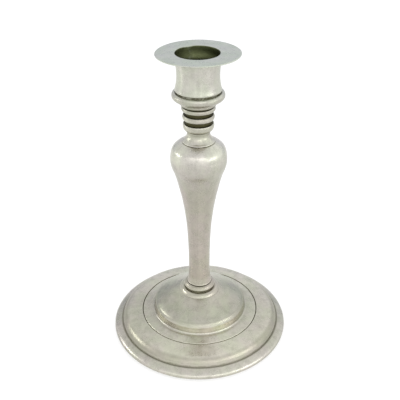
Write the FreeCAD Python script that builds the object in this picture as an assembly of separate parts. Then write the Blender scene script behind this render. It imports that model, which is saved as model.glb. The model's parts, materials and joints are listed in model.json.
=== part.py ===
import FreeCAD, Part
import os
from math import cos, pi, radians, sin, tan

# Altar candlestick: turned and spun metal parts stacked on one tie rod, with a lift-off
# drip pan. Millimetres. +Z is up, the origin is the middle of the ring it stands on, and
# every part is turned about the Z axis. A point in an outline is (radius, height).

# Heights of the joints between the stacked parts
FOOT_SEAT_Z = 30.5        # foot to foot ring
FOOT_RING_TOP_Z = 33.0    # foot ring to stem ring
STEM_BASE_Z = 37.3        # stem ring to stem
SHOULDER_Z = 143.9        # stem to neck collar
NECK_Z = 151.3            # neck collar to the lowest neck ring
RING_PITCHES_Z = (158.5, 164.3)    # lowest to middle ring, middle to upper ring
CUP_BASE_Z = 167.6        # upper neck ring to cup base
CUP_SEAT_Z = 177.2        # cup base to candle cup
HEIGHT = 200.0            # top of the drip pan

# Foot
FOOT_R = 60.9             # widest, at the rim moulding
REST_INNER_R = 56.4       # the ring the candlestick stands on
REST_OUTER_R = 58.4
LINE_R = 40.4             # turned line
LINE_DEPTH = 0.45
LINE_HALF_WIDTH = 0.45
GROOVE_R = 55.1           # bottom of the groove inside the rim moulding
GROOVE_Z = 6.5

# Tie rod and its fastenings
ROD_R = 3.0
ROD_CLEARANCE = 0.25      # every bore the rod passes through
THREAD_CLEARANCE = 0.02   # plain threads of the nuts
BORE_R = ROD_R + ROD_CLEARANCE
ROD_BOTTOM_Z = 16.5
ROD_TOP_Z = 183.2
NUT_FLATS = 10.0
FOOT_CEILING_Z = 28.3     # underside of the foot, where the washer presses
FOOT_WASHER = (11.5, 1.5)     # outer radius, thickness
LOCK_WASHER = (5.2, 1.6)
FOOT_NUT_HEIGHT = 5.2
CUP_WASHER = (8.0, 0.8)
CUP_NUT_HEIGHT = 3.2

# Candle cup
CUP_WAIST_R = 13.0
CUP_WALL = 0.85
CUP_FLOOR = 1.7
CUP_LIP_GAP = 0.05        # between the cup's lip and the drip pan resting on it

# Nozzle with drip pan
PAN_R = 25.4
PAN_THICKNESS = 0.6
CANDLE_BORE_R = 11.25
SLEEVE_WALL = 0.5
MOUTH_R = 13.2
NOZZLE_FLOOR_Z = 184.4
CANDLE_BORE_TOP_Z = 191.0


class Outline:
    """A closed outline in the half plane of radius and height."""

    def __init__(self, r, z):
        self.start = self.at(r, z)
        self.here = self.start
        self.edges = []

    def at(self, r, z):
        return FreeCAD.Vector(r, 0, z)

    def line(self, r, z):
        there = self.at(r, z)
        self.edges.append(Part.makeLine(self.here, there))
        self.here = there
        return self

    def arc(self, through, to):
        there = self.at(*to)
        self.edges.append(Part.Arc(self.here, self.at(*through), there).toShape())
        self.here = there
        return self

    def curve(self, points, leave=None, arrive=None):
        """A smooth curve through the points, with optional end directions."""
        through = [self.here] + [self.at(*point) for point in points]
        spline = Part.BSplineCurve()
        if leave is None:
            spline.interpolate(through)
        else:
            spline.interpolate(through, InitialTangent=self.at(*leave), FinalTangent=self.at(*arrive))
        self.edges.append(spline.toShape())
        self.here = through[-1]
        return self

    def turned(self):
        """The solid that the outline sweeps about the Z axis."""
        edges = self.edges
        if (self.here - self.start).Length > 1e-6:
            edges = edges + [Part.makeLine(self.here, self.start)]
        face = Part.Face(Part.Wire(edges))
        return face.revolve(FreeCAD.Vector(0, 0, 0), FreeCAD.Vector(0, 0, 1), 360)


def foot():
    """Stepped foot: domed middle, steep riser, flat ring, convex ring and rim moulding."""
    outline = Outline(BORE_R, FOOT_SEAT_Z)
    outline.line(14.0, FOOT_SEAT_Z)
    outline.curve([(21.5, 26.9), (29.6, 22.45)])
    outline.arc((31.2, 20.7), (31.75, 18.5))
    outline.line(32.1, 16.1)
    outline.arc((32.5, 15.15), (33.6, 14.7))
    outline.line(LINE_R - LINE_HALF_WIDTH, 13.65)
    outline.line(LINE_R, 13.6 - LINE_DEPTH)
    outline.line(LINE_R + LINE_HALF_WIDTH, 13.55)
    outline.curve([(46.0, 13.05), (49.8, 12.3), (51.8, 11.5), (53.2, 10.4), (54.2, 9.1),
                   (GROOVE_R - 0.2, 7.4)])
    outline.line(GROOVE_R, GROOVE_Z)
    outline.line(GROOVE_R + 0.5, GROOVE_Z + 0.1)
    outline.curve([(57.4, 5.8), (59.3, 4.95), (60.45, 4.05), (FOOT_R, 2.95), (60.3, 1.45),
                   (REST_OUTER_R, 0)])
    outline.line(REST_INNER_R, 0)
    outline.curve([(54.2, 4.4), (50.0, 8.7)])
    outline.line(40.4, 11.2)
    outline.line(32.6, 11.9)
    outline.arc((30.8, 12.7), (30.1, 14.3))
    outline.line(29.6, 17.6)
    outline.arc((28.8, 19.3), (27.4, 20.7))
    outline.line(13.0, FOOT_CEILING_Z)
    outline.line(BORE_R, FOOT_CEILING_Z)
    return outline.turned()


def foot_ring():
    """Ring with a sloping, rounded side that runs down into the foot's dome."""
    outline = Outline(BORE_R, FOOT_SEAT_Z)
    outline.line(13.95, FOOT_SEAT_Z)
    outline.arc((13.35, 31.65), (12.4, 32.6))
    outline.arc((12.0, 32.9), (11.5, FOOT_RING_TOP_Z))
    outline.line(BORE_R, FOOT_RING_TOP_Z)
    return outline.turned()


def stem_ring():
    """Smaller ring on a hub, with a groove below it and a narrow one under the stem."""
    hub_top_z = FOOT_RING_TOP_Z + 0.9
    ring_top_z = STEM_BASE_Z - 0.4
    outline = Outline(BORE_R, FOOT_RING_TOP_Z)
    outline.line(9.6, FOOT_RING_TOP_Z)
    outline.line(9.6, hub_top_z)
    outline.line(10.0, hub_top_z)
    outline.arc((10.6, 34.5), (10.4, 35.3))
    outline.arc((9.85, 36.25), (8.9, ring_top_z))
    outline.line(7.9, ring_top_z)
    outline.line(7.9, STEM_BASE_Z)
    outline.line(BORE_R, STEM_BASE_Z)
    return outline.turned()


def stem():
    """Baluster: a slim shaft that swells to a rounded shoulder."""
    outline = Outline(BORE_R, STEM_BASE_Z)
    outline.line(8.25, STEM_BASE_Z)
    outline.arc((8.5, STEM_BASE_Z + 0.25), (8.25, STEM_BASE_Z + 0.5))
    outline.curve([(7.75, 40.0), (7.3, 43.5)], (-0.2, 1), (-0.05, 1))
    outline.curve([(7.15, 55), (7.9, 79), (9.95, 97.5), (13.3, 114), (16.6, 125)], (-0.05, 1), (0.42, 1))
    outline.curve([(17.97, 132.6), (17.55, 136.2), (16.15, 139.9), (14.0, 142.0), (11.0, SHOULDER_Z)],
                  (0.42, 1), (-1, 0.5))
    outline.line(BORE_R, SHOULDER_Z)
    return outline.turned()


def neck_collar():
    """Hollow-sided collar that spreads to stand on the stem's shoulder."""
    outline = Outline(BORE_R, SHOULDER_Z)
    outline.line(10.2, SHOULDER_Z)
    outline.arc((10.5, 144.2), (10.35, 144.6))
    outline.curve([(8.55, 146.1), (7.45, 148.1), (7.2, NECK_Z - 0.3)], (-1, 0.35), (0, 1))
    outline.line(6.9, NECK_Z)
    outline.line(BORE_R, NECK_Z)
    return outline.turned()


def ring_outline(z, radii, height, hub_r, top_z):
    """A ring rounded between its bottom, middle and top radii, with a narrower hub above."""
    low_r, middle_r, high_r = radii
    outline = Outline(BORE_R, z)
    outline.line(low_r, z)
    outline.arc((middle_r, z + height * 0.5), (high_r, z + height))
    outline.line(hub_r, z + height + 0.1)
    outline.line(hub_r, top_z)
    outline.line(BORE_R, top_z)
    return outline


def neck_ring_lower():
    """Lowest neck ring: quarter-round below a short rim, hub above."""
    outline = Outline(BORE_R, NECK_Z)
    outline.line(7.3, NECK_Z)
    outline.arc((8.9, 152.3), (9.6, 154.3))
    outline.arc((9.7, 155.3), (9.45, 156.2))
    outline.line(8.0, 156.4)
    outline.line(8.0, RING_PITCHES_Z[0])
    outline.line(BORE_R, RING_PITCHES_Z[0])
    return outline.turned()


def neck_ring_middle():
    low_z, high_z = RING_PITCHES_Z
    return ring_outline(low_z, (8.95, 9.95, 9.4), 3.4, 8.0, high_z).turned()


def neck_ring_upper():
    low_z = RING_PITCHES_Z[1]
    return ring_outline(low_z, (9.4, 10.5, 9.9), 2.8, 9.2, CUP_BASE_Z).turned()


def cup_base():
    """Bead, hollow and wide round moulding below the candle cup."""
    outline = Outline(BORE_R, CUP_BASE_Z)
    outline.line(9.2, CUP_BASE_Z)
    outline.line(9.2, CUP_BASE_Z + 0.6)
    outline.line(10.6, CUP_BASE_Z + 0.6)
    outline.arc((11.2, 168.9), (10.95, 169.65))
    outline.curve([(12.7, 170.5), (14.8, 171.95)], (0.75, 0.6), (1, 0.75))
    outline.arc((16.2, 174.1), (15.4, 176.1))
    outline.arc((14.95, 176.35), (14.4, 176.4))
    outline.line(13.6, 176.2)
    outline.line(13.5, CUP_SEAT_Z)
    outline.line(BORE_R, CUP_SEAT_Z)
    return outline.turned()


def candle_cup():
    """Waisted cup with a foot edge, a flared lip and a floor that the tie rod clamps."""
    lip_z = HEIGHT - PAN_THICKNESS - CUP_LIP_GAP
    inner_r = CUP_WAIST_R - CUP_WALL
    floor_z = CUP_SEAT_Z + CUP_FLOOR
    outline = Outline(BORE_R, CUP_SEAT_Z)
    outline.line(13.9, CUP_SEAT_Z)
    outline.line(14.25, CUP_SEAT_Z + 0.35)
    outline.line(14.25, CUP_SEAT_Z + 0.8)
    outline.curve([(13.4, 181.7), (CUP_WAIST_R, 187.2), (13.4, 192.6), (14.85, lip_z - 0.35)])
    outline.arc((14.8, lip_z - 0.1), (14.55, lip_z))
    outline.line(14.2, lip_z)
    outline.curve([(13.6, 196.2), (12.6, 192.4), (inner_r, 188.5)], (-0.15, -1), (0, -1))
    outline.line(inner_r, floor_z + 1.2)
    outline.arc((inner_r - 0.35, floor_z + 0.35), (inner_r - 1.2, floor_z))
    outline.line(BORE_R, floor_z)
    return outline.turned()


def nozzle():
    """Spun nozzle in one piece: candle sleeve with a floor, flared mouth and flat drip pan."""
    pan_low_z = HEIGHT - PAN_THICKNESS
    edge_r = PAN_THICKNESS / 2
    outer_r = CANDLE_BORE_R + SLEEVE_WALL
    outer_floor_z = NOZZLE_FLOOR_Z - SLEEVE_WALL
    outline = Outline(0, NOZZLE_FLOOR_Z)
    outline.line(CANDLE_BORE_R - 1.0, NOZZLE_FLOOR_Z)
    outline.arc((CANDLE_BORE_R - 0.29, NOZZLE_FLOOR_Z + 0.29), (CANDLE_BORE_R, NOZZLE_FLOOR_Z + 1.0))
    outline.line(CANDLE_BORE_R, CANDLE_BORE_TOP_Z)
    outline.curve([(12.45, 195.4), (MOUTH_R, HEIGHT - 0.5)], (0, 1), (0.08, 1))
    outline.arc((MOUTH_R + 0.12, HEIGHT - 0.15), (MOUTH_R + 0.45, HEIGHT))
    outline.line(PAN_R - edge_r, HEIGHT)
    outline.arc((PAN_R, HEIGHT - edge_r), (PAN_R - edge_r, pan_low_z))
    outline.line(MOUTH_R + 0.8, pan_low_z)
    outline.arc((MOUTH_R + 0.57, pan_low_z - 0.13), (MOUTH_R + SLEEVE_WALL, pan_low_z - 0.4))
    outline.curve([(12.95, 195.3), (outer_r, CANDLE_BORE_TOP_Z - 0.3)], (-0.08, -1), (0, -1))
    outline.line(outer_r, outer_floor_z + 1.4)
    outline.arc((outer_r - 0.41, outer_floor_z + 0.41), (outer_r - 1.4, outer_floor_z))
    outline.line(0, outer_floor_z)
    return outline.turned()


def tie_rod():
    chamfer = 0.5
    outline = Outline(0, ROD_BOTTOM_Z)
    outline.line(ROD_R - chamfer, ROD_BOTTOM_Z)
    outline.line(ROD_R, ROD_BOTTOM_Z + chamfer)
    outline.line(ROD_R, ROD_TOP_Z - chamfer)
    outline.line(ROD_R - chamfer, ROD_TOP_Z)
    outline.line(0, ROD_TOP_Z)
    return outline.turned()


def washer(outer_r, thickness, z):
    """Flat washer with a broken outer edge, resting on height z."""
    edge = 0.2
    outline = Outline(BORE_R, z)
    outline.line(outer_r - edge, z)
    outline.line(outer_r, z + edge)
    outline.line(outer_r, z + thickness - edge)
    outline.line(outer_r - edge, z + thickness)
    outline.line(BORE_R, z + thickness)
    return outline.turned()


def nut(height, z):
    """Hexagon nut standing on height z, with its corners turned off at both faces."""
    corner_r = NUT_FLATS / 2 / cos(pi / 6)
    corners = [FreeCAD.Vector(corner_r * cos(i * pi / 3), corner_r * sin(i * pi / 3), z) for i in range(6)]
    hexagon = Part.Face(Part.makePolygon(corners + corners[:1])).extrude(FreeCAD.Vector(0, 0, height))
    face_r = NUT_FLATS / 2 - 0.1
    slope = (corner_r - face_r) * tan(radians(30))
    turned_corners = Outline(ROD_R + THREAD_CLEARANCE, z)
    turned_corners.line(face_r, z)
    turned_corners.line(corner_r + 0.01, z + slope)
    turned_corners.line(corner_r + 0.01, z + height - slope)
    turned_corners.line(face_r, z + height)
    turned_corners.line(ROD_R + THREAD_CLEARANCE, z + height)
    return hexagon.common(turned_corners.turned())


def lock_washer(z):
    """Split spring washer, pressed flat: the split is a narrow slanting cut."""
    outer_r, thickness = LOCK_WASHER
    ring = Part.makeCylinder(outer_r, thickness, FreeCAD.Vector(0, 0, z))
    ring = ring.cut(Part.makeCylinder(BORE_R, thickness, FreeCAD.Vector(0, 0, z)))
    split = Part.makeBox(outer_r, 0.6, thickness * 2, FreeCAD.Vector(1, -0.3, z - thickness / 2))
    split.rotate(FreeCAD.Vector(0, 0, z + thickness / 2), FreeCAD.Vector(1, 0, 0), 20)
    return ring.cut(split)


foot_washer_z = FOOT_CEILING_Z - FOOT_WASHER[1]
lock_washer_z = foot_washer_z - LOCK_WASHER[1]
cup_washer_z = CUP_SEAT_Z + CUP_FLOOR
nodes = {
    "foot": foot(),
    "foot_ring": foot_ring(),
    "stem_ring": stem_ring(),
    "stem": stem(),
    "neck_collar": neck_collar(),
    "neck_ring_lower": neck_ring_lower(),
    "neck_ring_middle": neck_ring_middle(),
    "neck_ring_upper": neck_ring_upper(),
    "cup_base": cup_base(),
    "candle_cup": candle_cup(),
    "nozzle": nozzle(),
    "tie_rod": tie_rod(),
    "cup_washer": washer(*CUP_WASHER, cup_washer_z),
    "cup_nut": nut(CUP_NUT_HEIGHT, cup_washer_z + CUP_WASHER[1]),
    "foot_washer": washer(*FOOT_WASHER, foot_washer_z),
    "lock_washer": lock_washer(lock_washer_z),
    "foot_nut": nut(FOOT_NUT_HEIGHT, lock_washer_z - FOOT_NUT_HEIGHT),
}

os.makedirs("parts", exist_ok=True)
for name, shape in nodes.items():
    shape.exportStep("parts/" + name + ".step")
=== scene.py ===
import json
import math
import bpy
import numpy as np
from mathutils import Matrix, Vector, noise

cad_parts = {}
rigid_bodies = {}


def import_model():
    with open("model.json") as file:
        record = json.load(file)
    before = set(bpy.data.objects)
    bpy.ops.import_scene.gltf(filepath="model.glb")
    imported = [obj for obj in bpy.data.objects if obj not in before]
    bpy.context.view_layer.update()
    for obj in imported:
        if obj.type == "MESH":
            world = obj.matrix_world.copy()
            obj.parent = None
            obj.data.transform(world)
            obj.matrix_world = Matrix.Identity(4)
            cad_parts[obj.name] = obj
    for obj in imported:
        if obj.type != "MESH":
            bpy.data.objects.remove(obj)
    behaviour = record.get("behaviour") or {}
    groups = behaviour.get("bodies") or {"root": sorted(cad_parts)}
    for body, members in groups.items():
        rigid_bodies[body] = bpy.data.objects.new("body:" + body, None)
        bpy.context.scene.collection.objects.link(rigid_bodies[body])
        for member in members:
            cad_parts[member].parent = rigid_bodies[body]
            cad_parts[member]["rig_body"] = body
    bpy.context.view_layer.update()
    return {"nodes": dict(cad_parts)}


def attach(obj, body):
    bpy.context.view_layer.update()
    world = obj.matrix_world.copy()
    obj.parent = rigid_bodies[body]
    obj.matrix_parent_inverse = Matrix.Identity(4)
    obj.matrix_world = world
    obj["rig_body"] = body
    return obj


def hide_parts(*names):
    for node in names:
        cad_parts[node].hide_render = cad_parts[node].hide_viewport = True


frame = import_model()
scene = bpy.context.scene
scene.view_settings.view_transform = "Standard"

MM = 0.001

# Camera, in the row frame
CAMERA_DISTANCE = 0.3730
CAMERA_HEIGHT = 0.3194
CAMERA_PITCH = math.radians(30.32)
CAMERA_YAW = math.radians(0.107)
CAMERA_ROLL = math.radians(-0.272)
CAMERA_LENS = 59.6

# Turned meshes
TURN_STEPS = 256
PROFILE_STEP = 0.45 * MM
CORNER_TURN = math.radians(32)
CORNER_ROUNDING = 0.10 * MM
LONGEST_ROUNDING = 0.4                   # as a share of the line on either side of the corner
SEAM_TOLERANCE = 1e-6

# Crevices: how far, and in how many directions, a surface looks for a neighbour
CREVICE_REACH = 7.0 * MM
NEAR_WALL = 2.2 * CREVICE_REACH
CREVICE_RAYS = 23
CREVICE_FAN = 0.47 * math.pi
RAY_START = 0.06 * MM
NOTHING_HIT = 1.0

# Grime gathers in crevices and hollows, and edges are worn
CREVICE_GRIME = 1.25
HOLLOW_GRIME = 0.28
HOLLOW_WIDTH = 0.55 * MM
EDGE_WIDTH = 0.35 * MM
SHARPEST_BEND = 1.2
SLEEVE_TOP_Z = 199.55 * MM
OUTSIDE_GRIME_OF_NOZZLE = 0.3

# A paler streak down one side of the inside of the sleeve, where less grime is kept
PALE_STREAK_ANGLE = math.radians(114)
PALE_STREAK_WIDTH = math.radians(14)
PALE_STREAK_SHARE = 0.30

# Joints worn smooth by polishing: radius, height, reach
RUBBED_CLEAN = (
    (14.0 * MM, 30.5 * MM, 3.0 * MM),
    (11.0 * MM, 169.7 * MM, 0.8 * MM),
)
# Hollows that keep only a share of their tarnish: radius, height, reach
HALF_CLEAN = (
    (9.8 * MM, 33.5 * MM, 2.0 * MM),
    (11.5 * MM, 143.9 * MM, 4.5 * MM),
    (14.3 * MM, 176.5 * MM, 1.8 * MM),
    (32.0 * MM, 17.5 * MM, 3.5 * MM),
    (55.1 * MM, 6.6 * MM, 3.5 * MM),
)
HALF_CLEAN_SHARE = 0.35
# Places that a cloth seldom gets to: radius, height, reach, grime
NEGLECTED = (
    (8.2 * MM, 151.9 * MM, 1.5 * MM, 0.45),
    (8.0 * MM, 157.6 * MM, 1.35 * MM, 0.80),
    (8.0 * MM, 163.2 * MM, 2.2 * MM, 1.0),
    (9.4 * MM, 164.4 * MM, 0.7 * MM, 1.0),
    (13.6 * MM, 176.9 * MM, 0.8 * MM, 0.76),
    (55.0 * MM, 6.9 * MM, 1.7 * MM, 0.40),
)
# Mouldings and a groove under an even film of tarnish, and painted shade on the collar's top under
# the lowest neck ring: radius, height, reach, share covered
DULLED_AND_SHADED = (
    # painted shade on the collar's top, under the lowest neck ring
    (7.2 * MM, 150.4 * MM, 1.6 * MM, 0.28),
    (9.9 * MM, 161.5 * MM, 0.9 * MM, 0.20),
    (10.4 * MM, 166.1 * MM, 1.0 * MM, 0.20),
    (11.1 * MM, 168.9 * MM, 1.0 * MM, 0.34),
    (15.6 * MM, 173.4 * MM, 3.6 * MM, 0.14),
    (9.9 * MM, 36.1 * MM, 1.5 * MM, 0.22),
    (13.1 * MM, 31.9 * MM, 1.6 * MM, 0.14),
    (30.4 * MM, 21.6 * MM, 2.0 * MM, 0.18),
    (53.4 * MM, 10.2 * MM, 3.8 * MM, 0.35),
    (55.1 * MM, 6.5 * MM, 1.3 * MM, 0.55),
)

# The turned pieces, with the depth of their hand-made unevenness
UNEVENNESS = {
    "foot": 0.07 * MM,
    "foot_ring": 0.03 * MM,
    "stem_ring": 0.03 * MM,
    "stem": 0.05 * MM,
    "neck_collar": 0.07 * MM,
    "neck_ring_lower": 0.04 * MM,
    "neck_ring_middle": 0.04 * MM,
    "neck_ring_upper": 0.04 * MM,
    "cup_base": 0.05 * MM,
    "candle_cup": 0.04 * MM,
    "nozzle": 0.03 * MM,
}
UNEVENNESS_SIZE = 9.0 * MM
FINER_UNEVENNESS = (2.7, 0.35)           # how many times smaller, and its share of the depth

# How far the loose nozzle is out of true
MOUTH_SHIFT = 0.35 * MM
PAN_DROOP = 0.25 * MM


def smoothstep(low, high, value):
    t = np.clip((value - low) / (high - low), 0, 1)
    return t * t * (3 - 2 * t)


# ---------------------------------------------------------------- outlines

def outline_of(node):
    """A node's outline as points (radius, height), read from its mesh's edges at y = 0."""
    mesh = node.data
    co = np.array([v.co for v in mesh.vertices])
    on_seam = (np.abs(co[:, 1]) < SEAM_TOLERANCE) & (co[:, 0] > -SEAM_TOLERANCE)
    points, number, place = [], {}, {}
    for i in np.nonzero(on_seam)[0]:
        key = (round(co[i, 0] * 1e6), round(co[i, 2] * 1e6))
        if key not in place:
            place[key] = len(points)
            points.append((max(co[i, 0], 0.0), co[i, 2]))
        number[i] = place[key]
    links = [set() for _ in points]
    for edge in mesh.edges:
        a, b = edge.vertices
        if a in number and b in number and number[a] != number[b]:
            links[number[a]].add(number[b])
            links[number[b]].add(number[a])
    ends = [i for i, near in enumerate(links) if len(near) == 1]
    path = [ends[0] if ends else 0]
    visited = set(path)
    while True:
        ahead = sorted(links[path[-1]] - visited)
        if not ahead:
            break
        path.append(ahead[0])
        visited.add(ahead[0])
    line = np.array([points[i] for i in path])
    if ends:
        line = np.vstack([(0, line[0, 1]), line, (0, line[-1, 1])])
    return line, not ends


def turn_at(a, b, c):
    """The angle through which a line a-b-c turns at b."""
    before = math.atan2(b[1] - a[1], b[0] - a[0])
    after = math.atan2(c[1] - b[1], c[0] - b[0])
    return (after - before + math.pi) % (2 * math.pi) - math.pi


def natural_spline(points):
    """Points at an even step on the smooth curve through the given points, without the last."""
    gaps = np.linalg.norm(np.diff(points, axis=0), axis=1)
    at = np.concatenate([[0], np.cumsum(gaps)])
    count = max(1, round(at[-1] / PROFILE_STEP))
    if len(points) > 2:
        count = max(count, len(points) - 1)
    wanted = np.linspace(0, at[-1], count + 1)[:-1]
    if len(points) == 2:
        return points[0] + np.outer(wanted / at[-1], points[1] - points[0])
    n = len(points)
    slopes = np.diff(points, axis=0) / gaps[:, None]
    matrix = np.eye(n)
    rhs = np.zeros((n, 2))
    for i in range(1, n - 1):
        matrix[i, i - 1:i + 2] = gaps[i - 1], 2 * (gaps[i - 1] + gaps[i]), gaps[i]
        rhs[i] = 6 * (slopes[i] - slopes[i - 1])
    bend = np.linalg.solve(matrix, rhs)
    span = np.clip(np.searchsorted(at, wanted, side="right") - 1, 0, n - 2)
    h = gaps[span][:, None]
    left = (wanted - at[span])[:, None]
    right = h - left
    return (bend[span] * right ** 3 / (6 * h) + bend[span + 1] * left ** 3 / (6 * h)
            + (points[span] / h - bend[span] * h / 6) * right
            + (points[span + 1] / h - bend[span + 1] * h / 6) * left)


def refined(line, closed):
    """The outline resampled finely, smooth between corners, with each corner slightly rounded."""
    n = len(line)
    if closed:
        turns = [abs(turn_at(line[i - 1], line[i], line[(i + 1) % n])) for i in range(n)]
        corners = [i for i in range(n) if turns[i] > CORNER_TURN]
        line = np.roll(line, -corners[0], axis=0)
        corners = [i - corners[0] for i in corners] + [n]
        line = np.vstack([line, line[:1]])
    else:
        turns = [abs(turn_at(line[i - 1], line[i], line[i + 1])) for i in range(1, n - 1)]
        corners = [0] + [i + 1 for i, turn in enumerate(turns) if turn > CORNER_TURN] + [n - 1]
    out = []
    for a, b in zip(corners[:-1], corners[1:]):
        run = natural_spline(line[a:b + 1])
        end = line[b]
        if a == 0 and not closed:
            out.append(run[0])
        else:
            before = out[-1] if out else line[-2]
            out.extend(rounded_corner(before, run[0], run[1] if len(run) > 1 else end))
        out.extend(run[1:])
    if not closed:
        out.append(line[-1])
    return np.clip(out, line.min(axis=0), line.max(axis=0))


def rounded_corner(a, b, c):
    """Three points in place of corner b between a and c."""
    to_a, to_c = a - b, c - b
    cut_a = min(CORNER_ROUNDING / np.linalg.norm(to_a), LONGEST_ROUNDING)
    cut_c = min(CORNER_ROUNDING / np.linalg.norm(to_c), LONGEST_ROUNDING)
    first, last = b + to_a * cut_a, b + to_c * cut_c
    return [first, 0.5 * b + 0.25 * (first + last), last]


def is_anticlockwise(line):
    r, z = line[:, 0], line[:, 1]
    return np.sum(r * np.roll(z, -1) - np.roll(r, -1) * z) > 0


def outward_normals(line, closed):
    """Unit normals of an outline that point out of the metal."""
    if closed:
        along = np.roll(line, -1, axis=0) - np.roll(line, 1, axis=0)
    else:
        along = np.gradient(line, axis=0)
    normal = np.stack([along[:, 1], -along[:, 0]], axis=1)
    normal /= np.linalg.norm(normal, axis=1)[:, None] + 1e-12
    return normal if is_anticlockwise(line) else -normal


def crevice_depth(line, normals, walls):
    """0 where a point of the outline faces open space, 1 where it is buried among walls."""
    angles = np.linspace(-CREVICE_FAN, CREVICE_FAN, CREVICE_RAYS)
    a, b = walls[:, 0], walls[:, 1]
    edge = b - a
    depth = np.zeros(len(line))
    for i, (point, normal) in enumerate(zip(line, normals)):
        start = point + normal * RAY_START
        gap = np.minimum(np.linalg.norm(a - start, axis=1), np.linalg.norm(b - start, axis=1))
        near = gap < NEAR_WALL
        if not near.any():
            continue
        base = math.atan2(normal[1], normal[0])
        rays = np.stack([np.cos(base + angles), np.sin(base + angles)], axis=1)
        e, s = edge[near], a[near] - start
        cross = rays[:, 0:1] * e[:, 1] - rays[:, 1:2] * e[:, 0]
        cross = np.where(np.abs(cross) < 1e-12, 1e-12, cross)
        distance = (s[:, 0] * e[:, 1] - s[:, 1] * e[:, 0]) / cross
        share = (s[:, 0] * rays[:, 1:2] - s[:, 1] * rays[:, 0:1]) / cross
        is_hit = (distance > 0) & (share >= 0) & (share <= 1)
        hit = np.where(is_hit, distance, NOTHING_HIT).min(axis=1)
        closeness = np.clip(1 - hit / CREVICE_REACH, 0, 1) ** 0.7
        depth[i] = np.sum(closeness * np.cos(angles)) / np.sum(np.cos(angles))
    return depth


def bend_of(line, closed):
    """The turn at each point of an outline: above 0 where convex, below 0 where hollow."""
    n = len(line)
    bend = np.array([turn_at(line[i - 1], line[i], line[(i + 1) % n]) for i in range(n)])
    if not closed:
        bend[0] = bend[-1] = 0
    return bend if is_anticlockwise(line) else -bend


def spread(values, line, closed, width):
    """Each point's sum of the values nearby, weighted by a bell of this width along the outline."""
    total = np.zeros(len(line))
    gaps = np.linalg.norm(np.roll(line, -1, axis=0) - line, axis=1)
    at = np.concatenate([[0], np.cumsum(gaps)])
    length = at[-1]
    for place, value in zip(at[:-1], values):
        if value:
            distance = np.abs(at[:-1] - place)
            if closed:
                distance = np.minimum(distance, length - distance)
            total += value * np.exp(-(distance / width) ** 2)
    return total


def distance_to(line, r, z):
    return np.linalg.norm(line - (r, z), axis=1)


def grime_of(name, line, closed, normals, walls):
    """How much old polish and tarnish each point has kept: 0 where rubbed clean, 1 where buried.
    Faces toward the axis and the inside of the sleeve get 1, as tarnish and painted shade.
    """
    crevice = crevice_depth(line, normals, walls)
    hollow = spread(np.clip(-bend_of(line, closed), 0, SHARPEST_BEND), line, closed, HOLLOW_WIDTH)
    grime_and_shade = CREVICE_GRIME * smoothstep(0.06, 0.75, crevice) + HOLLOW_GRIME * hollow
    for left, places in ((0.0, RUBBED_CLEAN), (HALF_CLEAN_SHARE, HALF_CLEAN)):
        for r, z, reach in places:
            away = smoothstep(0.4 * reach, reach, distance_to(line, r, z))
            grime_and_shade *= left + (1 - left) * away
    for r, z, reach, kept in NEGLECTED:
        away = smoothstep(0.6 * reach, reach, distance_to(line, r, z))
        grime_and_shade = np.maximum(grime_and_shade, kept * (1 - away))
    # faces toward the axis, and the inside of the sleeve below its mouth, are darkened in full:
    # tarnish, and painted shade inside the bores
    facing_axis = smoothstep(0.45, 0.7, -normals[:, 0])
    grime_and_shade = np.maximum(grime_and_shade, facing_axis)
    if name == "nozzle":
        below_mouth = 1 - smoothstep(SLEEVE_TOP_Z - 0.35 * MM, SLEEVE_TOP_Z, line[:, 1])
        is_inside = (normals[:, 0] < 0.3) & (normals[:, 1] > -0.5)
        outside = np.minimum(grime_and_shade, OUTSIDE_GRIME_OF_NOZZLE)
        grime_and_shade = np.where(is_inside, np.maximum(grime_and_shade, below_mouth), outside)
    return np.clip(grime_and_shade, 0, 1)


def dulling_and_shade_of(line):
    """The share of each point covered by an even film of tarnish, and by painted shade on the
    collar's top.
    """
    dulling_and_shade = np.zeros(len(line))
    for r, z, reach, share in DULLED_AND_SHADED:
        away = smoothstep(0.3 * reach, reach, distance_to(line, r, z))
        dulling_and_shade = np.maximum(dulling_and_shade, share * (1 - away))
    return dulling_and_shade


# ---------------------------------------------------------------- turned meshes

def hand_made_push(name, x, y, z, openness):
    """How far each point stands off its true place; nothing moves where the metal is enclosed."""
    push = np.zeros_like(x)
    smaller, share = FINER_UNEVENNESS
    for i in np.nonzero(openness > 0)[0]:
        for j in range(TURN_STEPS):
            p = Vector((x[i, j], y[i, j], z[i, j])) / UNEVENNESS_SIZE
            bump = noise.noise(p) + share * noise.noise(p * smaller)
            push[i, j] = UNEVENNESS[name] * openness[i] * bump
    return push


def swept_faces(line, closed, on_axis):
    """Faces between the rings of a swept outline, and the vertices of its points on the axis."""
    n = len(line)
    ring = np.nonzero(~on_axis)[0]
    first = {index: k * TURN_STEPS for k, index in enumerate(ring)}
    step = np.arange(TURN_STEPS)
    ahead = (step + 1) % TURN_STEPS
    faces = []
    poles = {}
    for i in range(n if closed else n - 1):
        j = (i + 1) % n
        if on_axis[i] and on_axis[j]:
            continue
        if on_axis[i] or on_axis[j]:
            pole, rim = (i, j) if on_axis[i] else (j, i)
            if pole not in poles:
                poles[pole] = len(ring) * TURN_STEPS + len(poles)
            tip = np.full(TURN_STEPS, poles[pole])
            a, b = first[rim] + step, first[rim] + ahead
            fan = np.stack([tip, a, b] if on_axis[j] else [tip, b, a], axis=1)
            faces.extend(fan.tolist())
            continue
        a, b = first[i] + step, first[i] + ahead
        c, d = first[j] + ahead, first[j] + step
        faces.extend(np.stack([a, b, c, d], axis=1).tolist())
    if not is_anticlockwise(line):
        faces = [face[::-1] for face in faces]
    return faces, poles


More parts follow.
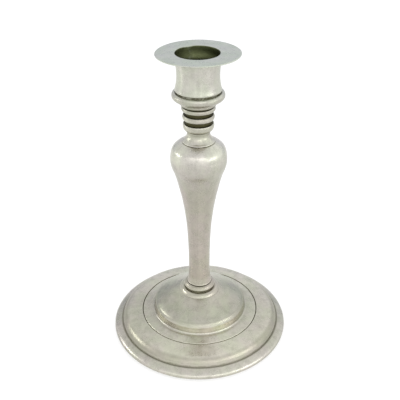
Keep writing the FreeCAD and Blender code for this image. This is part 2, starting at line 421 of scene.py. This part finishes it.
def turned_piece(name, line, closed, normals, grime_and_shade, deform=None):
    """A mesh swept about Z from an outline, with attributes that its material reads."""
    angle = np.linspace(0, 2 * math.pi, TURN_STEPS, endpoint=False)
    on_axis = line[:, 0] < 1e-7
    ring = np.nonzero(~on_axis)[0]
    r = np.repeat(line[ring, 0][:, None], TURN_STEPS, axis=1)
    z = np.repeat(line[ring, 1][:, None], TURN_STEPS, axis=1)
    off_axis = smoothstep(5 * MM, 7 * MM, line[ring, 0])
    openness = (1 - smoothstep(0.25, 0.6, grime_and_shade[ring])) * off_axis
    push = hand_made_push(name, r * np.cos(angle), r * np.sin(angle), z, openness)
    r = np.clip(r + push * normals[ring, 0][:, None], 0, line[:, 0].max())
    z = np.clip(z + push * normals[ring, 1][:, None], line[:, 1].min(), line[:, 1].max())
    x, y = r * np.cos(angle), r * np.sin(angle)
    if deform:
        x, y, z = deform(x, y, z)
    co = np.stack([x, y, z], axis=2).reshape(-1, 3)
    faces, poles = swept_faces(line, closed, on_axis)
    if poles:
        co = np.vstack([co] + [(0, 0, line[i, 1]) for i in poles])
    mesh = bpy.data.meshes.new(name + "_metal")
    mesh.from_pydata(co.tolist(), [], faces)
    mesh.shade_smooth()

    along = np.concatenate([[0], np.cumsum(np.linalg.norm(np.diff(line, axis=0), axis=1))])
    convex = np.clip(bend_of(line, closed), 0, SHARPEST_BEND)
    worn = np.clip(spread(convex, line, closed, EDGE_WIDTH), 0, 1)
    streak_mask = np.zeros(TURN_STEPS)
    if name == "nozzle":
        streak_mask = PALE_STREAK_SHARE * np.exp(-((angle - PALE_STREAK_ANGLE) / PALE_STREAK_WIDTH) ** 2)
    values_by_name = {"grime_and_shade": grime_and_shade, "along": along, "worn": worn, "dulling_and_shade": dulling_and_shade_of(line)}
    for label, values in values_by_name.items():
        kept = 1 - streak_mask if label == "grime_and_shade" else np.ones(TURN_STEPS)
        on_rings = np.outer(values[ring], kept).reshape(-1)
        per_vertex = np.concatenate([on_rings, values[list(poles)]]) if poles else on_rings
        attribute = mesh.attributes.new(label, "FLOAT", "POINT")
        attribute.data.foreach_set("value", per_vertex.astype(np.float32))
    piece = bpy.data.objects.new(name + "_metal", mesh)
    scene.collection.objects.link(piece)
    return piece


def bent_pan(x, y, z):
    """The loose nozzle is out of true: its mouth is off centre and its pan droops on one side."""
    r = np.hypot(x, y)
    mouth = smoothstep(194 * MM, 199.4 * MM, z) * (1 - smoothstep(14.5 * MM, 21 * MM, r))
    over_cup = smoothstep(15 * MM, 25.4 * MM, r)
    droop = PAN_DROOP * over_cup * np.clip(-x / np.maximum(r, MM), 0, 1) ** 1.5
    return x - MOUTH_SHIFT * mouth, y, z - droop


# ---------------------------------------------------------------- materials

FULL_HEIGHT = 0.200
# Noise scales, per metre
CLOUD_SCALE = 75.0
STAIN_SCALE = 170.0
PATCH_SCALE = 210.0
SPECK_SCALE = 620.0
GRAIN_SCALE = 1100.0
LINES_PER_METRE = 1700.0
# Colours that a cloud leans to, and the colour of a worn edge
GREENER = (0.97, 1.0, 0.95, 1)
PINKER = (1.02, 1.0, 1.02, 1)
WORN_EDGE = (0.62, 0.60, 0.54, 1)


def shader(name):
    material = bpy.data.materials.new(name)
    material.use_nodes = True
    tree = material.node_tree
    return material, tree, tree.nodes["Principled BSDF"]


class Graph:
    """Short calls for building one material's node tree."""

    def __init__(self, tree):
        self.tree = tree

    def node(self, kind, inputs=(), **settings):
        node = self.tree.nodes.new(kind)
        for key, value in settings.items():
            setattr(node, key, value)
        for key, value in dict(inputs).items():
            if isinstance(value, bpy.types.NodeSocket):
                self.tree.links.new(value, node.inputs[key])
            else:
                node.inputs[key].default_value = value
        return node

    def attribute(self, name):
        return self.node("ShaderNodeAttribute", attribute_name=name).outputs["Fac"]

    def math(self, operation, *values):
        return self.node("ShaderNodeMath", dict(enumerate(values)), operation=operation).outputs[0]

    def vector(self, operation, *values):
        inputs = dict(enumerate(values))
        return self.node("ShaderNodeVectorMath", inputs, operation=operation).outputs[0]

    def combine(self, **parts):
        return self.node("ShaderNodeCombineXYZ", parts).outputs[0]

    def split(self, vector):
        return self.node("ShaderNodeSeparateXYZ", {"Vector": vector}).outputs

    def object_place(self):
        return self.node("ShaderNodeTexCoord").outputs["Object"]

    def noise(self, vector, scale, detail=3.0, roughness=0.5):
        inputs = {"Vector": vector, "Scale": scale, "Detail": detail, "Roughness": roughness}
        return self.node("ShaderNodeTexNoise", inputs).outputs["Fac"]

    def range(self, value, low, high, to_low=0.0, to_high=1.0):
        inputs = {"Value": value, "From Min": low, "From Max": high,
                  "To Min": to_low, "To Max": to_high}
        node = self.node("ShaderNodeMapRange", inputs, interpolation_type="SMOOTHSTEP")
        return node.outputs["Result"]

    def mix(self, share, a, b, blend="MIX"):
        node = self.tree.nodes.new("ShaderNodeMix")
        node.data_type = "RGBA"
        node.blend_type = blend
        for index, value in ((0, share), (6, a), (7, b)):
            if isinstance(value, bpy.types.NodeSocket):
                self.tree.links.new(value, node.inputs[index])
            else:
                node.inputs[index].default_value = value
        return node.outputs[2]

    def ramp(self, value, stops):
        node = self.node("ShaderNodeValToRGB", {"Fac": value})
        elements = node.color_ramp.elements
        for element in list(elements)[1:]:
            elements.remove(element)
        elements[0].position, elements[0].color = stops[0]
        for position, colour in stops[1:]:
            elements.new(position).color = colour
        return node.outputs["Color"]

    def bump(self, height, distance, strength=1.0, under=None):
        inputs = {"Height": height, "Distance": distance, "Strength": strength}
        if under is not None:
            inputs["Normal"] = under
        return self.node("ShaderNodeBump", inputs).outputs["Normal"]


def turning_lines(g, toward):
    """Fine lines that the lathe left round the piece."""
    lift = g.combine(Z=g.math("MULTIPLY", g.attribute("along"), LINES_PER_METRE))
    around = g.vector("MULTIPLY", toward, (1.6, 1.6, 1.6))
    return g.noise(g.vector("ADD", around, lift), 1.0, 2.0)


def polish_and_reflection_streaks(g, toward, height, streakiness):
    """Faint upright streaks on everything above the foot: partly polishing marks, partly painted
    reflections.
    """
    upright = g.combine(Z=g.math("MULTIPLY", height, 9.0))
    sweep = g.vector("MULTIPLY", toward, (3.2, 3.2, 3.2))
    streak_mask = g.noise(g.vector("ADD", sweep, upright), 1.0, 3.0, 0.6)
    above_foot = g.range(height, 34 * MM, 50 * MM)
    return g.math("MULTIPLY", g.range(streak_mask, 0.35, 0.65, -streakiness, streakiness), above_foot)


def painted_side_shade(g, toward, height):
    """Painted shade: how much darker the foot is painted at its left and right than at its front
    and back, a little more at the left.
    """
    facing = g.split(toward)
    side = g.range(g.math("ABSOLUTE", facing["X"]), 0.35, 0.95, 0.0, 0.20)
    side = g.math("MULTIPLY_ADD", facing["X"], -0.03, side)
    side = g.math("MULTIPLY", side, g.range(facing["Y"], 0.15, 0.75, 1.0, 0.1))
    return g.math("MULTIPLY", side, g.range(height, 22 * MM, 35 * MM, 1.0, 0.0))


def metal_tint_and_painted_light(g, clouds, patches, grain, toward, height, tints_and_painted_light, streakiness):
    """The bare metal's colour with painted light: a tint by height, some bands of it painted
    highlight, reflection and shade, then clouds, patches, grain, streaks that are partly painted
    reflections, and painted shade on the sides.
    """
    base = g.ramp(g.math("MULTIPLY", height, 1 / FULL_HEIGHT), tints_and_painted_light)
    cloudy = g.mix(g.range(clouds, 0.38, 0.62), GREENER, PINKER)
    tint = g.mix(1.0, base, cloudy, "MULTIPLY")
    fine = g.range(grain, 0.3, 0.7, -0.055, 0.055)
    shade = g.math("ADD", fine, g.range(patches, 0.3, 0.7, 0.93, 1.06))
    # streaks that are partly painted reflections, then painted shade on the foot's left and right
    # sides
    shade = g.math("ADD", shade, polish_and_reflection_streaks(g, toward, height, streakiness))
    shade = g.math("SUBTRACT", shade, painted_side_shade(g, toward, height))
    grey = g.node("ShaderNodeCombineColor", {0: shade, 1: shade, 2: shade}).outputs[0]
    tint = g.mix(1.0, tint, grey, "MULTIPLY")
    return g.mix(g.math("MULTIPLY", g.attribute("worn"), 0.14), tint, WORN_EDGE)


def tarnish_and_shade_cover(g, place, patches, height, speckle):
    """The share of the metal that tarnish and painted shade hide: grime in the hollows, painted
    shade inside the bores, specks, stains, and film, part of which is painted shade.
    """
    wander = g.math("MULTIPLY_ADD", patches, 0.9, -0.45)
    rubbed = g.math("MULTIPLY", g.attribute("worn"), 0.3)
    gathered = g.math("SUBTRACT", g.math("ADD", g.attribute("grime_and_shade"), wander), rubbed)
    grime_and_shade = g.range(gathered, 0.2, 0.75)
    specks = g.noise(place, SPECK_SCALE, 1.0, 0.4)
    specks = g.math("MULTIPLY", g.range(specks, 0.75, 0.80), speckle)
    stains = g.noise(place, STAIN_SCALE, 5.0, 0.6)
    most_low_down = g.range(height, 15 * MM, 50 * MM, 0.17, 0.05)
    stains = g.math("MULTIPLY", g.range(stains, 0.50, 0.72), most_low_down)
    cover = g.math("MAXIMUM", g.math("MAXIMUM", grime_and_shade, specks), stains)
    return g.math("MAXIMUM", cover, g.attribute("dulling_and_shade"))


def old_silver_and_painted_light(name, tints_and_painted_light, dirt_and_shade, dirt_roughness, streakiness, speckle):
    """Satin plated metal, cloudy and finely turned, with tarnish that keeps to the hollows, and
    painted light: bands of painted highlight, reflection and shade by height, streaks that are
    partly painted reflections, and painted shade on the foot's sides, inside the bores and on the
    collar's top.
    """
    material, tree, bsdf = shader(name)
    g = Graph(tree)
    place = g.object_place()
    parts = g.split(place)
    height = parts["Z"]
    toward = g.vector("NORMALIZE", g.combine(X=parts["X"], Y=parts["Y"]))
    lines = turning_lines(g, toward)
    clouds = g.noise(place, CLOUD_SCALE, 4.0, 0.55)
    patches = g.noise(place, PATCH_SCALE, 5.0, 0.6)
    grain = g.noise(place, GRAIN_SCALE, 3.0, 0.6)

    tint = metal_tint_and_painted_light(g, clouds, patches, grain, toward, height, tints_and_painted_light, streakiness)
    cover = tarnish_and_shade_cover(g, place, patches, height, speckle)
    tree.links.new(g.mix(cover, tint, dirt_and_shade), bsdf.inputs["Base Color"])

    rough = g.range(patches, 0.3, 0.7, 0.25, 0.36)
    rough = g.math("ADD", rough, g.math("MULTIPLY_ADD", lines, 0.08, -0.04))
    rough = g.math("ADD", rough, g.math("MULTIPLY", cover, dirt_roughness))
    tree.links.new(rough, bsdf.inputs["Roughness"])
    bsdf.inputs["Metallic"].default_value = 1.0

    normal = None
    for height_map, depth in ((clouds, 0.30), (patches, 0.06), (grain, 0.008), (lines, 0.012)):
        normal = g.bump(height_map, depth * MM, under=normal)
    tree.links.new(normal, bsdf.inputs["Normal"])
    return material


def dull_steel():
    """Plain rod and nuts: grey, with brown stains and fine pitting."""
    material, tree, bsdf = shader("dull_steel")
    g = Graph(tree)
    place = g.object_place()
    stains = g.noise(place, 260.0, 4.0, 0.6)
    grain = g.noise(place, 1500.0, 3.0, 0.6)
    tint = g.mix(g.range(grain, 0.3, 0.7), (0.30, 0.30, 0.29, 1), (0.42, 0.41, 0.39, 1))
    tint = g.mix(g.range(stains, 0.5, 0.68, 0.0, 0.75), tint, (0.17, 0.10, 0.055, 1))
    tree.links.new(tint, bsdf.inputs["Base Color"])
    tree.links.new(g.range(stains, 0.35, 0.7, 0.38, 0.62), bsdf.inputs["Roughness"])
    bsdf.inputs["Metallic"].default_value = 1.0
    tree.links.new(g.bump(grain, 0.02 * MM), bsdf.inputs["Normal"])
    return material


def pale_floor():
    """White paper on a light table, which softens the shadow under the foot."""
    material, tree, bsdf = shader("floor_paper")
    g = Graph(tree)
    fibre = g.noise(g.object_place(), 400.0, 3.0, 0.6)
    tint = g.mix(fibre, (0.40, 0.40, 0.397, 1), (0.44, 0.44, 0.437, 1))
    tree.links.new(tint, bsdf.inputs["Base Color"])
    bsdf.inputs["Emission Color"].default_value = (1, 1, 1, 1)
    bsdf.inputs["Emission Strength"].default_value = 0.60
    bsdf.inputs["Roughness"].default_value = 0.9
    bsdf.inputs["Specular IOR Level"].default_value = 0.2
    return material


# ---------------------------------------------------------------- the candlestick

# Tints of the clean metal, each at a share of the full height. Some bands are painted light: a
# painted highlight on the rim at 0.023, painted shade at the foot of the riser at 0.078, a painted
# reflection lightening the riser at 0.086 to 0.094, and a painted highlight on the baluster's
# shoulder at 0.690 to 0.718
BODY_TINTS_AND_PAINTED_LIGHT = (
    (0.000, (0.485, 0.457, 0.396, 1)),
    # painted highlight on the rim
    (0.023, (0.535, 0.512, 0.448, 1)),
    (0.035, (0.500, 0.478, 0.405, 1)),
    (0.061, (0.615, 0.588, 0.494, 1)),
    (0.070, (0.575, 0.556, 0.466, 1)),
    # painted shade at the foot of the riser
    (0.078, (0.455, 0.440, 0.368, 1)),
    # painted reflection lightening the riser, to 0.094
    (0.086, (0.600, 0.575, 0.480, 1)),
    (0.094, (0.590, 0.565, 0.472, 1)),
    (0.106, (0.440, 0.435, 0.357, 1)),
    (0.145, (0.460, 0.446, 0.368, 1)),
    (0.190, (0.440, 0.405, 0.345, 1)),
    (0.550, (0.415, 0.386, 0.338, 1)),
    (0.660, (0.460, 0.446, 0.391, 1)),
    # painted highlight on the baluster's shoulder, to 0.718
    (0.690, (0.545, 0.530, 0.468, 1)),
    (0.718, (0.566, 0.549, 0.482, 1)),
    (0.735, (0.458, 0.440, 0.375, 1)),
    (0.850, (0.460, 0.446, 0.380, 1)),
    (0.900, (0.515, 0.510, 0.446, 1)),
    (1.000, (0.450, 0.440, 0.390, 1)),
)
PAN_TINTS = (
    (0.00, (0.477, 0.492, 0.410, 1)),
    (1.00, (0.525, 0.548, 0.478, 1)),
)
body_silver_and_painted_light = old_silver_and_painted_light("old_silver_and_painted_light", BODY_TINTS_AND_PAINTED_LIGHT, dirt_and_shade=(0.080, 0.074, 0.036, 1),
                         dirt_roughness=0.22, streakiness=0.05, speckle=0.28)
pan_silver = old_silver_and_painted_light("old_silver_sheet", PAN_TINTS, dirt_and_shade=(0.084, 0.094, 0.044, 1),
                        dirt_roughness=0.10, streakiness=0.012, speckle=0.12)
steel = dull_steel()

outlines = {name: outline_of(frame["nodes"][name]) for name in UNEVENNESS}
walls = []
for line, closed in outlines.values():
    ends = np.roll(line, -1, axis=0) if closed else line[1:]
    starts = line if closed else line[:-1]
    walls.extend(zip(starts, ends))
walls = np.array(walls)

for name, (line, closed) in outlines.items():
    node = frame["nodes"][name]
    fine = refined(line, closed)
    normals = outward_normals(fine, closed)
    grime_and_shade = grime_of(name, fine, closed, normals, walls)
    loose = name == "nozzle"
    piece = turned_piece(name, fine, closed, normals, grime_and_shade, bent_pan if loose else None)
    piece.data.materials.append(pan_silver if loose else body_silver_and_painted_light)
    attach(piece, node["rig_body"])
    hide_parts(name)

for name, node in frame["nodes"].items():
    if name not in UNEVENNESS:
        node.data.materials.clear()
        node.data.materials.append(steel)


# ---------------------------------------------------------------- studio

FLOOR_SIZE = 8.0
bpy.ops.mesh.primitive_plane_add(size=FLOOR_SIZE)
floor = bpy.context.object
floor.name = "floor"
floor.data.materials.append(pale_floor())

# A white tent: brightest low down, in front and to the right, dimmer overhead, and dimmest and
# coolest low behind the object
world = bpy.data.worlds.new("studio")
scene.world = world
world.use_nodes = True
sky = Graph(world.node_tree)
toward_sky = sky.split(sky.node("ShaderNodeTexCoord").outputs["Generated"])
tent = sky.ramp(toward_sky["Z"], (
    (0.00, (1.30, 1.31, 1.33, 1)),
    (0.38, (1.29, 1.30, 1.32, 1)),
    (0.65, (1.12, 1.13, 1.15, 1)),
    (1.00, (1.02, 1.03, 1.05, 1)),
))
near_side = sky.range(toward_sky["Y"], -0.9, 0.9, 1.06, 0.96)
brightness = sky.math("MULTIPLY_ADD", toward_sky["X"], 0.13, near_side)
low_behind = sky.range(sky.math("SUBTRACT", toward_sky["Y"], toward_sky["Z"]), -0.05, 0.85)
brightness = sky.math("MULTIPLY", brightness, sky.math("MULTIPLY_ADD", low_behind, -0.42, 1.0))
cool = sky.mix(low_behind, (1, 1, 1, 1), (1.02, 1.04, 1.14, 1))
background = world.node_tree.nodes["Background"]
world.node_tree.links.new(sky.mix(1.0, tent, cool, "MULTIPLY"), background.inputs["Color"])
world.node_tree.links.new(brightness, background.inputs["Strength"])


def softbox(name, place, target, size, power):
    light = bpy.data.lights.new(name, "AREA")
    light.shape = "RECTANGLE"
    light.size, light.size_y = size
    light.energy = power
    lamp = bpy.data.objects.new(name, light)
    lamp.location = place
    aim = Vector(target) - Vector(place)
    lamp.rotation_euler = aim.to_track_quat("-Z", "Y").to_euler()
    scene.collection.objects.link(lamp)


# Three lights on the object, then two that shine down on the floor and reflect in the cup
LOW_ON_STEM = (0, 0, 0.08)
softbox("key_right", (0.50, -1.35, 0.95), LOW_ON_STEM, (0.45, 0.4), 1.1)
softbox("key_left", (-0.70, -1.27, 0.95), LOW_ON_STEM, (0.95, 0.55), 0.80)
softbox("front", (-0.05, -1.4, 0.87), LOW_ON_STEM, (0.28, 0.28), 0.48)
softbox("floor_left", (-0.52, 0.07, 0.25), (-0.52, 0.0701, 0), (0.22, 0.22), 1.0)
softbox("floor_right", (0.44, -0.28, 0.25), (0.44, -0.2801, 0), (0.30, 0.30), 0.8)

# The camera
forward = Vector((math.sin(CAMERA_YAW) * math.cos(CAMERA_PITCH),
                  math.cos(CAMERA_YAW) * math.cos(CAMERA_PITCH), -math.sin(CAMERA_PITCH)))
level = Vector((math.cos(CAMERA_YAW), -math.sin(CAMERA_YAW), 0))
right = level * math.cos(CAMERA_ROLL) + level.cross(forward) * math.sin(CAMERA_ROLL)
up = right.cross(forward)
camera_data = bpy.data.cameras.new("camera")
camera_data.lens = CAMERA_LENS
camera_data.clip_start = 0.01
camera = bpy.data.objects.new("camera", camera_data)
camera.matrix_world = Matrix((right, up, -forward)).transposed().to_4x4()
camera.location = (0, -CAMERA_DISTANCE, CAMERA_HEIGHT)
scene.collection.objects.link(camera)
scene.camera = camera
